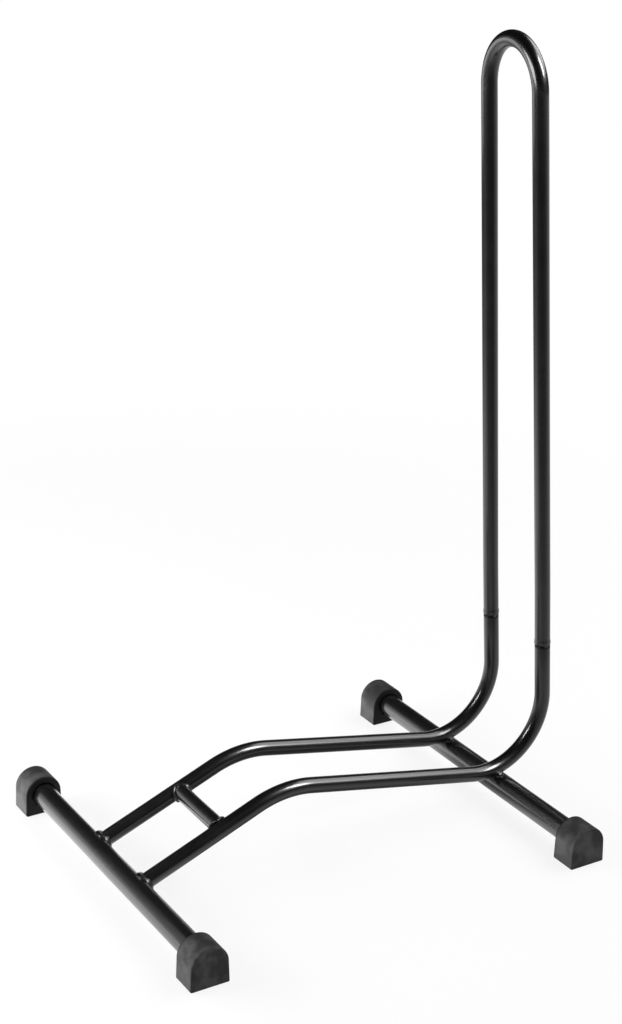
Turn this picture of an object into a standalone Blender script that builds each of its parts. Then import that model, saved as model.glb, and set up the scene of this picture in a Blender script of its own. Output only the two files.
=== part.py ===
"""Floor bike stand.

A bicycle wheel rolls up the ramp, drops between two bent rails and is held upright
by a tall hoop that plugs onto the rails' upper ends.

Metres, +Z up, +Y from the ramp to the hoop, X across. The origin is on the floor,
under the middle of the stand's outline.
"""

from math import asin, atan2, ceil, cos, hypot, pi, radians, sin, sqrt

import bmesh
import bpy
from mathutils import Vector

# Overall sizes
OVERALL_WIDTH = 0.3825
OVERALL_HEIGHT = 0.772
CROSS_TUBE_SPACING = 0.4138

# Rails: one path in a vertical plane, bent twice
RAIL_OD = 0.016
RAIL_WALL = 0.0012
RAIL_SPACING = 0.0883
RAMP_ANGLE = radians(21.85)
RAMP_LENGTH = 0.1398
CREST_BEND_RADIUS = 0.1037
REAR_BEND_RADIUS = 0.0703
REAR_SEAT_ANGLE = radians(13.4)
LEG_LEAN = radians(3.7)

# Brace between the rails, measured along the ramp from the front tube's axis
BRACE_OD = 0.016
BRACE_WALL = 0.0012
BRACE_DISTANCE = 0.0984

# Cross tubes
CROSS_TUBE_OD = 0.0234
CROSS_TUBE_WALL = 0.0015

# Plug joint: swaged neck on the rail, belled mouth on the hoop
PLUG_HEIGHT = 0.1659
SHOULDER_LENGTH = 0.002
NECK_LENGTH = 0.040
NECK_WALL = 0.0012
NECK_TIP_CHAMFER = 0.0008
PLUG_CLEARANCE = 0.0003
MOUTH_FLARE = 0.0004
MOUTH_LENGTH = 0.006

# Hoop
HOOP_TOP_SPACING = 0.0792
HOOP_ARCH_RISE = 0.0463
HOOP_PLUG_STRAIGHT = 0.057

# Rubber feet
FOOT_LENGTH = 0.0290
FOOT_SIDE_WALL = 0.0067
FOOT_FLARE = 0.0008
FOOT_FLOOR_WALL = 0.0094
FOOT_END_WALL = 0.005
FOOT_EDGE_ROUND = 0.0012
FOOT_MOUTH_CHAMFER = 0.0012

# Weld beads: radius of the bead, how far its middle stands off each tube, and its ripple
FRONT_BEAD_RADIUS = 0.0027
BRACE_BEAD_RADIUS = 0.0023
REAR_BEAD_RADIUS = 0.0026
BEAD_STAND_OFF = 0.0010
BRACE_BEAD_REACH = 0.0018
BEAD_RIPPLE = 0.10
RING_RIPPLES = 11
REAR_BEAD_RIPPLES = 2
REAR_BEAD_SWEEP = radians(20)
REAR_BEAD_TAPER = 0.8

# Gap that touching pieces keep, and how far a cutter runs past what it cuts
FIT_GAP = 0.0003
CUT_MARGIN = 0.002

# Points closer than this are one point, and faces that turn less than this are one face
SAME_POINT = 1e-6
FLAT_WITHIN = radians(0.05)

# Faces
TUBE_SIDES = 24
BORE_SIDES = 16
CROSS_TUBE_SIDES = 32
CUTTER_SIDES = 48
BEAD_SIDES = 8
BEND_STEP = radians(7.5)
ARCH_STEPS = 24
FOOT_ARCH_STEPS = 16
POINTS_PER_RIPPLE = 3
REAR_BEAD_STEPS = 8
EDGE_ROUND_STEPS = 2
SHARP_FROM = radians(35)
ROUND_FROM = radians(40)

# Fits that follow from the sizes above
RAIL_RADIUS = RAIL_OD / 2
RAIL_BORE = RAIL_RADIUS - RAIL_WALL
BRACE_RADIUS = BRACE_OD / 2
CROSS_RADIUS = CROSS_TUBE_OD / 2
NECK_RADIUS = RAIL_BORE - PLUG_CLEARANCE
NECK_BORE = NECK_RADIUS - NECK_WALL
FOOT_BORE = CROSS_RADIUS + FIT_GAP
FOOT_ARCH_RADIUS = FOOT_BORE + FOOT_SIDE_WALL
FOOT_HALF_WIDTH = FOOT_ARCH_RADIUS + FOOT_FLARE
CROSS_TUBE_HEIGHT = FOOT_FLOOR_WALL + FOOT_BORE
CROSS_TUBE_LENGTH = OVERALL_WIDTH - 2 * (FOOT_END_WALL + FIT_GAP)

# The rear bend lies on the rear tube at REAR_SEAT_ANGLE behind its lowest point
REAR_SEAT_REACH = REAR_BEND_RADIUS + RAIL_RADIUS + CROSS_RADIUS + FIT_GAP
REAR_OVERHANG = REAR_BEND_RADIUS + RAIL_RADIUS - REAR_SEAT_REACH * sin(REAR_SEAT_ANGLE)
OVERALL_DEPTH = FOOT_HALF_WIDTH + CROSS_TUBE_SPACING + REAR_OVERHANG
FRONT_TUBE_Y = FOOT_HALF_WIDTH - OVERALL_DEPTH / 2
REAR_TUBE_Y = FRONT_TUBE_Y + CROSS_TUBE_SPACING

SIDES = {"left": -1, "right": 1}

PARTS = None
CUTTERS = None


def clear_scene():
    for scene_object in list(bpy.data.objects):
        bpy.data.objects.remove(scene_object, do_unlink=True)


def new_collection(name):
    collection = bpy.data.collections.new(name)
    bpy.context.scene.collection.children.link(collection)
    return collection


def finish_material(name, colour, roughness, metallic):
    material = bpy.data.materials.new(name)
    material.use_nodes = True
    shader = material.node_tree.nodes["Principled BSDF"]
    shader.inputs["Base Color"].default_value = (*colour, 1)
    shader.inputs["Roughness"].default_value = roughness
    shader.inputs["Metallic"].default_value = metallic
    return material


def direction(angle):
    """Unit vector in the YZ plane, at this angle above +Y."""
    return Vector((0, cos(angle), sin(angle)))


def arc(centre, radius, start, end):
    """Points on a bend in the YZ plane, both ends included."""
    steps = max(2, ceil(abs(end - start) / BEND_STEP))
    return [centre + radius * direction(start + (end - start) * i / steps) for i in range(steps + 1)]


def sweep(name, points, radii, sides, cyclic=False):
    """Closed tube along points, as a mesh, with a radius at each point."""
    data = bpy.data.curves.new(name, "CURVE")
    data.dimensions = "3D"
    data.bevel_depth = max(radii)
    data.bevel_resolution = (sides - 4) // 2
    data.use_fill_caps = True
    spline = data.splines.new("POLY")
    spline.points.add(len(points) - 1)
    for spline_point, place, radius in zip(spline.points, points, radii):
        spline_point.co = (*place, 1)
        spline_point.radius = radius / data.bevel_depth
    spline.use_cyclic_u = cyclic
    return curve_to_mesh(name, data)


def curve_to_mesh(name, data):
    curve = bpy.data.objects.new(name + "_curve", data)
    bpy.context.scene.collection.objects.link(curve)
    evaluated = curve.evaluated_get(bpy.context.evaluated_depsgraph_get())
    mesh = bpy.data.meshes.new_from_object(evaluated)
    mesh.name = name
    bpy.data.objects.remove(curve, do_unlink=True)
    bpy.data.curves.remove(data)
    work = bmesh.new()
    work.from_mesh(mesh)
    bmesh.ops.remove_doubles(work, verts=work.verts, dist=SAME_POINT)
    bmesh.ops.dissolve_limit(work, angle_limit=FLAT_WITHIN, verts=work.verts, edges=work.edges)
    bmesh.ops.recalc_face_normals(work, faces=work.faces)
    work.to_mesh(mesh)
    work.free()
    return mesh


def rod(name, length, radius, sides):
    """Straight round bar along X, centred on its own origin."""
    half = length / 2
    return sweep(name, [Vector((-half, 0, 0)), Vector((half, 0, 0))], [radius, radius], sides)


def add_part(name, mesh, material, location=(0, 0, 0), rotation=(0, 0, 0)):
    part = bpy.data.objects.new(name, mesh)
    part.location = location
    part.rotation_euler = rotation
    if not mesh.materials:
        mesh.materials.append(material)
    mesh.shade_smooth()
    mesh.set_sharp_from_angle(angle=SHARP_FROM)
    PARTS.objects.link(part)
    return part


def add_cutter(name, mesh, location=(0, 0, 0), rotation=(0, 0, 0)):
    cutter = bpy.data.objects.new(name, mesh)
    cutter.location = location
    cutter.rotation_euler = rotation
    cutter.hide_render = True
    cutter.display_type = "WIRE"
    CUTTERS.objects.link(cutter)
    return cutter


def cut(part, *cutters):
    for cutter in cutters:
        boolean = part.modifiers.new("cut_by_" + cutter.name, "BOOLEAN")
        boolean.operation = "DIFFERENCE"
        boolean.solver = "EXACT"
        boolean.object = cutter


def front_axis():
    return Vector((0, FRONT_TUBE_Y, CROSS_TUBE_HEIGHT))


def rear_axis():
    return Vector((0, REAR_TUBE_Y, CROSS_TUBE_HEIGHT))


def rear_bend_centre():
    return rear_axis() + REAR_SEAT_REACH * direction(pi / 2 + REAR_SEAT_ANGLE)


def leg_direction():
    return direction(pi / 2 + LEG_LEAN)


def rail_route():
    """Rail centreline in the plane X = 0, from the front tube's axis to the neck's shoulder."""
    ramp_end = front_axis() + RAMP_LENGTH * direction(RAMP_ANGLE)
    crest_centre = ramp_end + CREST_BEND_RADIUS * direction(RAMP_ANGLE - pi / 2)
    rear_centre = rear_bend_centre()
    span = rear_centre - crest_centre
    span_angle = atan2(span.z, span.y)
    fall_angle = span_angle - asin((CREST_BEND_RADIUS + REAR_BEND_RADIUS) / span.length)
    crest = arc(crest_centre, CREST_BEND_RADIUS, RAMP_ANGLE + pi / 2, fall_angle + pi / 2)
    rear = arc(rear_centre, REAR_BEND_RADIUS, fall_angle - pi / 2, LEG_LEAN)
    return [front_axis(), *crest, *rear, shoulder_point()]


def shoulder_point():
    """Where the full-size leg ends, on its centreline."""
    bend_end = rear_bend_centre() + REAR_BEND_RADIUS * direction(LEG_LEAN)
    return bend_end + leg_direction() * (PLUG_HEIGHT - bend_end.z) / cos(LEG_LEAN)


def plug_seat():
    """Middle of the hoop's mouth, level with the top of the rail's shoulder."""
    return shoulder_point() + SHOULDER_LENGTH * leg_direction()


def brace_point():
    return front_axis() + BRACE_DISTANCE * direction(RAMP_ANGLE)


def shift(points, offset):
    return [point - offset for point in points]


def rail_meshes():
    """Outer form and bore of a rail, with the front tube's axis as origin."""
    route = rail_route()
    along = leg_direction()
    neck_start = plug_seat()
    neck_tip = neck_start + NECK_LENGTH * along
    chamfer_start = neck_tip - NECK_TIP_CHAMFER * along
    outer_points = [*route, neck_start, chamfer_start, neck_tip]
    outer_radii = [RAIL_RADIUS] * len(route)
    outer_radii += [NECK_RADIUS, NECK_RADIUS, NECK_RADIUS - NECK_TIP_CHAMFER]
    bore_start = route[0] - CUT_MARGIN * direction(RAMP_ANGLE)
    bore_points = [bore_start, *route[1:], neck_start, neck_tip + CUT_MARGIN * along]
    bore_radii = [RAIL_BORE] * len(route) + [NECK_BORE, NECK_BORE]
    origin = front_axis()
    outer = sweep("rail", shift(outer_points, origin), outer_radii, TUBE_SIDES)
    bore = sweep("rail_bore", shift(bore_points, origin), bore_radii, BORE_SIDES)
    return outer, bore


def build_rails(steel, front_clearance):
    outer, bore = rail_meshes()
    for side, sign in SIDES.items():
        place = front_axis() + Vector((sign * RAIL_SPACING / 2, 0, 0))
        rail = add_part("rail_" + side, outer, steel, place)
        bore_cutter = add_cutter("rail_bore_" + side, bore, place)
        cut(rail, bore_cutter, front_clearance)


def build_hoop(steel):
    """Hoop in its own frame: origin between the mouths, local Z up the legs."""
    rise_to_arch = (OVERALL_HEIGHT - RAIL_RADIUS - plug_seat().z) / cos(LEG_LEAN) - HOOP_ARCH_RISE
    half_base = RAIL_SPACING / 2
    half_top = HOOP_TOP_SPACING / 2
    mouth_radius = RAIL_RADIUS + MOUTH_FLARE
    leg_heights = [0, MOUTH_LENGTH / 2, MOUTH_LENGTH, HOOP_PLUG_STRAIGHT]
    leg_radii = [mouth_radius, mouth_radius, RAIL_RADIUS, RAIL_RADIUS]
    right_leg = [Vector((half_base, 0, height)) for height in leg_heights]
    arch = []
    for i in range(ARCH_STEPS + 1):
        turn = pi * i / ARCH_STEPS
        arch.append(Vector((half_top * cos(turn), 0, rise_to_arch + HOOP_ARCH_RISE * sin(turn))))
    left_leg = [Vector((-point.x, 0, point.z)) for point in reversed(right_leg)]
    points = [*right_leg, *arch, *left_leg]
    radii = [*leg_radii, *[RAIL_RADIUS] * len(arch), *reversed(leg_radii)]
    bore_points = points[:1] + points[3:-3] + points[-1:]
    bore_points[0] = bore_points[0] - Vector((0, 0, CUT_MARGIN))
    bore_points[-1] = bore_points[-1] - Vector((0, 0, CUT_MARGIN))
    outer = sweep("hoop", points, radii, TUBE_SIDES)
    bore = sweep("hoop_bore", bore_points, [RAIL_BORE] * len(bore_points), TUBE_SIDES)
    tilt = (LEG_LEAN, 0, 0)
    hoop = add_part("hoop", outer, steel, plug_seat(), tilt)
    cut(hoop, add_cutter("hoop_bore", bore, plug_seat(), tilt))


def build_cross_tubes(steel):
    outer = rod("cross_tube", CROSS_TUBE_LENGTH, CROSS_RADIUS, CROSS_TUBE_SIDES)
    bore_length = CROSS_TUBE_LENGTH + 2 * CUT_MARGIN
    bore = rod("cross_tube_bore", bore_length, CROSS_RADIUS - CROSS_TUBE_WALL, BORE_SIDES)
    for end, place in (("front", front_axis()), ("rear", rear_axis())):
        tube = add_part(end + "_cross_tube", outer, steel, place)
        cut(tube, add_cutter(end + "_tube_bore", bore, place))


def build_brace(steel, rail_clearances):
    place = brace_point()
    outer = rod("brace", RAIL_SPACING, BRACE_RADIUS, TUBE_SIDES)
    bore = rod("brace_bore", RAIL_SPACING + 2 * CUT_MARGIN, BRACE_RADIUS - BRACE_WALL, BORE_SIDES)
    turn = (RAMP_ANGLE, 0, 0)
    brace = add_part("rail_brace", outer, steel, place, turn)
    cut(brace, add_cutter("brace_bore", bore, place, turn), *rail_clearances)


def foot_outline():
    """D outline in the foot's own XY plane, with the tube's axis as origin."""
    points = [(-FOOT_HALF_WIDTH, -CROSS_TUBE_HEIGHT), (FOOT_HALF_WIDTH, -CROSS_TUBE_HEIGHT)]
    for i in range(FOOT_ARCH_STEPS + 1):
        turn = pi * i / FOOT_ARCH_STEPS
        points.append((FOOT_ARCH_RADIUS * cos(turn), FOOT_ARCH_RADIUS * sin(turn)))
    return points


def foot_mesh():
    data = bpy.data.curves.new("foot", "CURVE")
    data.dimensions = "2D"
    data.fill_mode = "BOTH"
    data.extrude = FOOT_LENGTH / 2
    outline = foot_outline()
    spline = data.splines.new("POLY")
    spline.points.add(len(outline) - 1)
    for spline_point, (across, up) in zip(spline.points, outline):
        spline_point.co = (across, up, 0, 1)
    spline.use_cyclic_u = True
    return curve_to_mesh("foot", data)


def foot_bore_mesh():
    """Blind bore from the foot's inner end, with a chamfered mouth."""
    mouth = -FOOT_LENGTH / 2
    heights = [mouth - CUT_MARGIN, mouth, mouth + FOOT_MOUTH_CHAMFER, FOOT_LENGTH / 2 - FOOT_END_WALL]
    wide = FOOT_BORE + FOOT_MOUTH_CHAMFER
    points = [Vector((0, 0, height)) for height in heights]
    return sweep("foot_bore", points, [wide, wide, FOOT_BORE, FOOT_BORE], CROSS_TUBE_SIDES)


def build_feet(rubber):
    body = foot_mesh()
    bore = foot_bore_mesh()
    for end, axis in (("front", front_axis()), ("rear", rear_axis())):
        for side, sign in SIDES.items():
            place = axis + Vector((sign * (OVERALL_WIDTH - FOOT_LENGTH) / 2, 0, 0))
            turn = (pi / 2, 0, sign * pi / 2)
            foot = add_part("foot_" + end + "_" + side, body, rubber, place, turn)
            rounding = foot.modifiers.new("rounded_edges", "BEVEL")
            rounding.width = FOOT_EDGE_ROUND
            rounding.segments = EDGE_ROUND_STEPS
            rounding.limit_method = "ANGLE"
            rounding.angle_limit = ROUND_FROM
            cut(foot, add_cutter("foot_bore_" + end + "_" + side, bore, place, turn))


def ripple(step, steps, ripples):
    """Share of the bead's full radius at one step of a run of ripples."""
    return 1 + BEAD_RIPPLE * cos(2 * pi * ripples * step / steps)


def add_ring_bead(name, ring_point, bead_radius, steel, place, clearances):
    """Weld bead all round a joint. ring_point gives the bead's middle at each turn."""
    steps = RING_RIPPLES * POINTS_PER_RIPPLE
    points = [ring_point(2 * pi * i / steps) for i in range(steps)]
    radii = [bead_radius * ripple(i, steps, RING_RIPPLES) for i in range(steps)]
    mesh = sweep(name, points, radii, BEAD_SIDES, cyclic=True)
    cut(add_part(name, mesh, steel, place), *clearances)


def front_ring_point(turn):
    """Middle of the bead where a rail's end meets the front tube."""
    across = (RAIL_RADIUS + BEAD_STAND_OFF) * sin(turn)
    off_ramp = (RAIL_RADIUS + BEAD_STAND_OFF) * cos(turn)
    along = sqrt((CROSS_RADIUS + BEAD_STAND_OFF) ** 2 - off_ramp ** 2)
    ramp = along * direction(RAMP_ANGLE) + off_ramp * direction(RAMP_ANGLE + pi / 2)
    return Vector((across, 0, 0)) + ramp


def brace_ring_point(turn, inward):
    """Middle of the bead where an end of the brace meets a rail, from the rail's axis."""
    off_ramp = (BRACE_RADIUS + BEAD_STAND_OFF / 2) * cos(turn)
    along = (BRACE_RADIUS + BEAD_STAND_OFF / 2) * sin(turn)
    across = sqrt((RAIL_RADIUS + BRACE_BEAD_REACH) ** 2 - off_ramp ** 2)
    ramp = along * direction(RAMP_ANGLE) + off_ramp * direction(RAMP_ANGLE + pi / 2)
    return Vector((inward * across, 0, 0)) + ramp


def rear_bead_point(turn, outward):
    """Middle of a fillet bead beside a rail on the rear tube, from the tube's axis."""
    off_tube = CROSS_RADIUS + BEAD_STAND_OFF
    on_tube = off_tube * direction(pi / 2 + REAR_SEAT_ANGLE + turn)
    centre = rear_bend_centre() - rear_axis()
    below_rail = hypot(on_tube.y - centre.y, on_tube.z - centre.z) - REAR_BEND_RADIUS
    across = sqrt((RAIL_RADIUS + BEAD_STAND_OFF) ** 2 - below_rail ** 2)
    return Vector((outward * across, 0, 0)) + on_tube


def add_rear_bead(name, outward, steel, place, clearances):
    points = []
    radii = []
    for i in range(REAR_BEAD_STEPS + 1):
        share = 2 * i / REAR_BEAD_STEPS - 1
        points.append(rear_bead_point(share * REAR_BEAD_SWEEP, outward))
        taper = sqrt(1 - REAR_BEAD_TAPER * share ** 2)
        radii.append(REAR_BEAD_RADIUS * taper * ripple(i, REAR_BEAD_STEPS, REAR_BEAD_RIPPLES))
    mesh = sweep(name, points, radii, BEAD_SIDES)
    cut(add_part(name, mesh, steel, place), *clearances)


def build_welds(weld_steel, front_clearance, rear_clearance, brace_clearance, rail_clearances):
    for (side, sign), rail_clearance in zip(SIDES.items(), rail_clearances):
        beside = Vector((sign * RAIL_SPACING / 2, 0, 0))
        add_ring_bead("weld_front_" + side, front_ring_point, FRONT_BEAD_RADIUS, weld_steel,
                      front_axis() + beside, (rail_clearance, front_clearance))
        add_ring_bead("weld_brace_" + side, lambda turn: brace_ring_point(turn, -sign),
                      BRACE_BEAD_RADIUS, weld_steel, brace_point() + beside,
                      (rail_clearance, brace_clearance))
        for edge, outward in (("inner", -sign), ("outer", sign)):
            add_rear_bead("weld_rear_" + side + "_" + edge, outward, weld_steel,
                          rear_axis() + beside, (rail_clearance, rear_clearance))


def build_clearances():
    """Cutters one fit gap larger than the tubes, for everything that seats on them."""
    tube_mesh = rod("tube_clearance", OVERALL_WIDTH, CROSS_RADIUS + FIT_GAP, CUTTER_SIDES)
    front = add_cutter("front_tube_clearance", tube_mesh, front_axis())
    rear = add_cutter("rear_tube_clearance", tube_mesh, rear_axis())
    brace_mesh = rod("brace_clearance", RAIL_SPACING, BRACE_RADIUS + FIT_GAP, CUTTER_SIDES)
    brace = add_cutter("brace_clearance", brace_mesh, brace_point())
    route = shift(rail_route(), front_axis())
    rail_mesh = sweep("rail_clearance", route, [RAIL_RADIUS + FIT_GAP] * len(route), CUTTER_SIDES)
    rails = []
    for side, sign in SIDES.items():
        place = front_axis() + Vector((sign * RAIL_SPACING / 2, 0, 0))
        rails.append(add_cutter("rail_clearance_" + side, rail_mesh, place))
    return front, rear, brace, rails


def main():
    global PARTS, CUTTERS
    clear_scene()
    PARTS = new_collection("floor_bike_stand")
    CUTTERS = new_collection("cutters")
    black_steel = finish_material("black_painted_steel", (0.012, 0.012, 0.013), 0.32, 0.0)
    black_weld = finish_material("black_painted_weld", (0.014, 0.014, 0.015), 0.42, 0.0)
    grey_rubber = finish_material("dark_rubber", (0.045, 0.045, 0.045), 0.75, 0.0)
    front_clearance, rear_clearance, brace_clearance, rail_clearances = build_clearances()
    build_rails(black_steel, front_clearance)
    build_hoop(black_steel)
    build_cross_tubes(black_steel)
    build_brace(black_steel, rail_clearances)
    build_feet(grey_rubber)
    build_welds(black_weld, front_clearance, rear_clearance, brace_clearance, rail_clearances)


main()
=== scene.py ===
from math import asin, atan2, ceil, copysign, cos, hypot, pi, radians, sin, sqrt
from random import Random

import bmesh
import bpy
from bpy.props import FloatProperty, FloatVectorProperty, IntProperty, PointerProperty
from bpy.types import Operator, Panel, PropertyGroup
from mathutils import Matrix, Vector


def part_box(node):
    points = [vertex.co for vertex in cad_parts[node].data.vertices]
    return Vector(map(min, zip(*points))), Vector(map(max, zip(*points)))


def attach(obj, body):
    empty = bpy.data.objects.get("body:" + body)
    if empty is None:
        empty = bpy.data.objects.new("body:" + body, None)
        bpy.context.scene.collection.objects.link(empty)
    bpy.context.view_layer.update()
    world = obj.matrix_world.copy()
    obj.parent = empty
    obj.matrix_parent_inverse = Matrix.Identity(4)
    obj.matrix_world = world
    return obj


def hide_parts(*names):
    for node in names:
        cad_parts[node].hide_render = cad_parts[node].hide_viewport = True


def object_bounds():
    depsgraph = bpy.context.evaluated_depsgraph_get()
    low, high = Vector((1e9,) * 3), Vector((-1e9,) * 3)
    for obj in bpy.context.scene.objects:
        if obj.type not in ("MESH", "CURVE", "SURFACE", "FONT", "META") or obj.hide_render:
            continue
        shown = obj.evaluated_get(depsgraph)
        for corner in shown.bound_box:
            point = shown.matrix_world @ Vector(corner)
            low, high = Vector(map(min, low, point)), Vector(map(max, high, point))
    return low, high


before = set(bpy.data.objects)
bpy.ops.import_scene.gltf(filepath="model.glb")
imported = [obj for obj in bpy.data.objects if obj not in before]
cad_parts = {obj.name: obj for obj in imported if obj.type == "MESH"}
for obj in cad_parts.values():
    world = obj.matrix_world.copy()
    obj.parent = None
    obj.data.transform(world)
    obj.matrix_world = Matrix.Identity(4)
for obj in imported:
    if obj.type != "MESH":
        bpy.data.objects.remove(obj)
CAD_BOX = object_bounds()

bl_info = {
    "name": "Floor Bike Stand",
    "version": (1, 0, 0),
    "blender": (4, 5, 0),
    "location": "3D View > Sidebar > Bike Stand",
    "description": "Builds the finished tubes, weld beads, rubber feet and studio of a floor bike stand",
    "category": "Object",
}

SIDES = {"left": -1, "right": 1}
ACROSS = Vector((1, 0, 0))
UP = Vector((0, 0, 1))

# Mesh resolution
TUBE_SIDES = 64
BEND_STEP = radians(1.5)
ARCH_STEPS = 96
BEAD_SIDES = 24
POINTS_PER_PUDDLE = 8
CORNER_STEPS = 6
FOOT_ARCH_STEPS = 48
WALL_STEPS = 12

# Angles of the steps round a corner
QUARTER_TURN = [pi / 2 * i / CORNER_STEPS for i in range(CORNER_STEPS + 1)]

# Where a hoop leg has rings: this far below its kink, and at these parts of the run above it
KINK_STEP = 0.004
LEG_PARTS = (0.02, 0.25, 0.5, 0.75, 0.98)

# Edges that turn more than this stay crisp
SHARP_FROM = radians(40)

# The smooth tubes stay this much inside the faceted ones
SKIN = 0.00013

# Half of how far, in puddles, a ripple lags at its root behind its outside
RIPPLE_LAG = 0.30

# Share of an open bead's section that is gone at its two ends
END_TAPER = 0.9

# How steeply a rear bead faces up from its tube, as rise over run
REAR_BEAD_RISE = 0.6

# Paints: waves of orange peel to the metre, what is added to the roughness, and whether the coat is thick
PAINTS = {
    "rail_paint": (650.0, 0.0, False),
    "hoop_paint": (650.0, 0.0, False),
    "cross_tube_paint": (520.0, 0.02, True),
    "brace_paint": (600.0, 0.02, True),
    "weld_paint": (900.0, 0.06, False),
}

# Waves to the metre in the other patterns of the paint and the rubber
PAINT_CLOUDS = 28.0
PAINT_PATCHES = 190.0
RUB_STREAKS = (900.0, 900.0, 22.0)
RUBBER_CLOUDS = 55.0
RUBBER_GRAIN = 2400.0
RUBBER_PORES = 900.0

# Levels of their pattern between which dust, rubbing and pores set in
DUST_LEVELS = (0.3, 0.8)
RUB_LEVELS = (0.56, 0.66)
PORE_LEVELS = (0.62, 0.75)

# What each pattern adds to the roughness of the paint and of the rubber
PAINT_PATCH_HAZE = 0.10
PAINT_CLOUD_HAZE = 0.08
RUB_HAZE = 0.12
RUBBER_CLOUD_HAZE = 0.14
RUBBER_GRAIN_HAZE = 0.10

# Refractive index of the paint's plain gloss coat
PLAIN_COAT = 1.5

# The rubbing sets in over this height of a neck, and the gloss coat ends between these depths below the neck
RUB_RISE = 0.004
COAT_END = (0.0042, 0.0030)

# Bloom, and painted light standing in for light that falls on the sides, are strongest low on a foot's sides.
# They grow between these heights, and between these depths from the outer end. The bloom's clouds set in
# between two levels, and give the third number, twice over low on the sides
BLOOM_AND_LIGHT_HEIGHTS = (0.036, 0.010)
BLOOM_AND_LIGHT_DEPTHS = (0.0008, 0.0022)
BLOOM_CLOUDS = (0.38, 0.68, 0.5)
BLOOM_GRAIN = 0.12
# Painted light: how much paler the low sides are made, over and above their bloom
PAINTED_SIDE_LIGHT = 0.6

# Depth of a pore in the rubber against that of the grain
PORE_DEPTH = 0.5

# Distances from a foot's mouth between which the darker rubber round the mouth turns into the rest
MOUTH_FADE = (0.0006, 0.0030)

# Places that the packed model gives
FRONT_LOW, FRONT_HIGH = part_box("front_cross_tube")
REAR_LOW, REAR_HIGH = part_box("rear_cross_tube")
FOOT_LOW, FOOT_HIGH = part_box("foot_front_right")
FRONT_AXIS = Vector((0, (FRONT_LOW.y + FRONT_HIGH.y) / 2, (FRONT_LOW.z + FRONT_HIGH.z) / 2))
REAR_AXIS = Vector((0, (REAR_LOW.y + REAR_HIGH.y) / 2, (REAR_LOW.z + REAR_HIGH.z) / 2))

# The photograph's frame and the camera that was solved from it
IMAGE_WIDTH = 622
IMAGE_HEIGHT = 1024
FOCAL_PIXELS = 2003.5
CENTRE_PIXEL = (309.023, 510.169)
SENSOR_WIDTH = 36.0


def towards(turn, height):
    """Unit vector at this angle from +X towards +Y, and this angle above the floor."""
    return Vector((cos(turn) * cos(height), sin(turn) * cos(height), sin(height)))


# The floor: its tone, its size, its two faces' heights, and between which distances it stops taking shadow
FLOOR_TONE = (0.97, 0.97, 0.97)
FLOOR_RADIUS = 60.0
FLOOR_FACES = (0.0, -0.01)
SHADOW_REACH = (0.5, 1.6)

# The room that only gloss sees: its size, where its walls begin, and where its pale side is and fades
ROOM_RADIUS = 5.0
WALL_FROM = radians(2)
GLOW_MIDDLE = ROOM_RADIUS * towards(radians(-143), radians(-4))
GLOW_FADE = (0.3, 3.1)

# The paper that only gloss sees: its two faces' heights, and where its painted pool of light is and fades
PAPER_FACES = (0.0002, 0.0001)
LIGHT_POOL_MIDDLE = (-0.38, -0.25, 0.0)
LIGHT_POOL_FADE = (0.25, 0.75)

# Painted shade on that paper towards the camera and to the left, and the stand's painted shadow under it: two
# distances, and the share that is gone at the second. Those under the stand are measured after its scale
LEFTWARDS = (-0.97, -0.24, 0.0)
PAINTED_SHADOW_SCALE = (8.5, 4.4, 0.0)
PAINTED_SHADE_AHEAD = (-0.1, 0.8, 0.62)
PAINTED_SHADE_NEAR = (0.5, 2.2, 0.28)
PAINTED_SHADE_LEFT = (0.5, 1.7, 0.75)
PAINTED_SHADOW_UNDER = (1.2, 0.5, 0.85)

# Kinds of ray that don't meet a lamp or a part of the studio
UNSEEN = ("camera",)
GLOSS_LAMP = ("camera", "diffuse")
MATTE_LAMP = ("camera", "glossy")
GLOSS_STAGE = ("camera", "diffuse", "shadow", "transmission")

# Lamps: the setting for the brightness, the place, the point that is faced, the width and height, and the
# rays that don't meet it. Gloss lamps light only gloss, and matte lamps all but gloss
STAND_MIDDLE = (0.0, 0.0, 0.07)
LAMP_DISTANCE = 2.4
LAMPS = {
    "key_lamp": ("key_level", LAMP_DISTANCE * towards(radians(77), radians(48)), STAND_MIDDLE, (2.1, 1.4),
                 UNSEEN),
    "strip_lamp": ("strip_level", LAMP_DISTANCE * towards(radians(40), radians(47)), STAND_MIDDLE, (0.6, 1.0),
                   GLOSS_LAMP),
    "hoop_lamp": ("hoop_level", (-0.04, -0.10, 0.755), (0.03, 0.16, 0.895), (0.20, 0.13), GLOSS_LAMP),
    "arch_card": ("card_level", (-0.46, -0.10, 0.66), (0.04, 0.20, 1.47), (0.20, 0.20), GLOSS_LAMP),
    "wide_card": ("card_level", (-0.47, -0.11, 0.66), (0.03, 0.19, 1.47), (0.37, 0.37), GLOSS_LAMP),
    "bend_lamp": ("bend_level", (-0.302, -0.908, 0.805), (-1.102, -0.688, 0.255), (0.46, 0.51), GLOSS_LAMP),
    "side_lamp": ("side_level", (-0.59, -1.02, 0.40), (0.0, 0.0, 0.15), (1.2, 0.5), MATTE_LAMP),
}


def length(label, about, default):
    """A size in metres that the panel shows."""
    return FloatProperty(name=label, description=about, default=default, min=0.0, precision=5, unit="LENGTH")


def angle(label, about, default):
    return FloatProperty(name=label, description=about, default=radians(default), subtype="ANGLE")


def share(label, about, default):
    return FloatProperty(name=label, description=about, default=default, min=0.0, max=1.0, subtype="FACTOR")


def level(label, about, default):
    return FloatProperty(name=label, description=about, default=default, min=0.0)


def colour(label, about, default):
    return FloatVectorProperty(name=label, description=about, default=default, size=3, min=0.0, max=1.0,
                               subtype="COLOR")


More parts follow.
